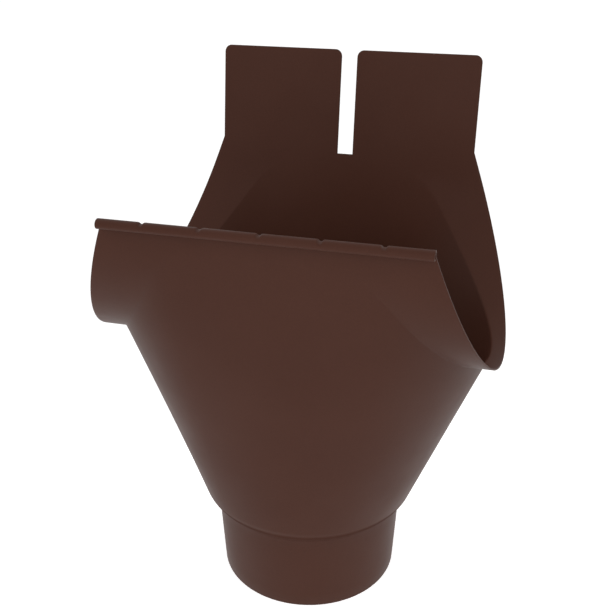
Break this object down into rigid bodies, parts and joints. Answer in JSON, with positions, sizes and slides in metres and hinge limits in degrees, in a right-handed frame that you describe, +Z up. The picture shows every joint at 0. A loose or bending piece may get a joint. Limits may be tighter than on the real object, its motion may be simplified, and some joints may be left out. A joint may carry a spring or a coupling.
{
  "type": "downpipe hopper head",
  "caption": "Sheet-steel saddle trough that wraps a half-round gutter and narrows through a funnel to a round spigot, with a rolled front edge and fold-over tabs at the back.",
  "frame": {"origin": "centre of the spigot's open lower rim, which the object stands on; the box's bottom centre lies within 2 mm of it", "axes": "+Z up along the spigot axis, X along the gutter, -Y towards the rolled front edge, +Y towards the two tabs"},
  "size_m": [0.1814, 0.1535, 0.2457],
  "materials": {
    "coated_steel_brown": "dark brown satin coating on steel sheet"
  },
  "bodies": {
    "root": {"hopper_head": "coated_steel_brown"}
  },
  "joints": []
}
